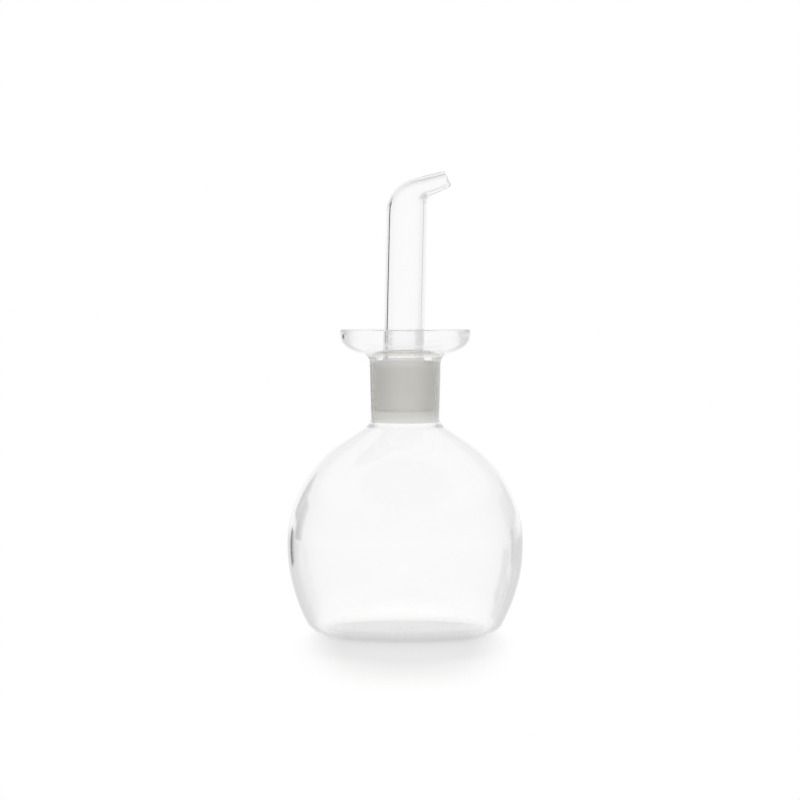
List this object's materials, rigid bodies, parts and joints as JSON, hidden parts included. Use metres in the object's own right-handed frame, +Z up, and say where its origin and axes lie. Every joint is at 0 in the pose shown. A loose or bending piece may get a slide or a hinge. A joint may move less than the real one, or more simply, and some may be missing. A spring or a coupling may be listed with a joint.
{
  "type": "oil pourer bottle",
  "caption": "Clear glass oil bottle: a round body with a flat base, a ground neck that flares into a drip saucer, and a hollow ground glass pourer with a bent, narrowing spout.",
  "frame": {"origin": "centre of the flat base, on the surface the bottle stands on", "axes": "+Z up along the axis of the body and neck, +X the way the spout pours"},
  "size_m": [0.105, 0.105, 0.2057],
  "materials": {
    "clear_glass": "clear blown glass with a fire-polished gloss, ground matt on the inside of the neck and on the cone that sits in it"
  },
  "bodies": {
    "root": {"bottle": "clear_glass", "pourer": "clear_glass"}
  },
  "joints": []
}
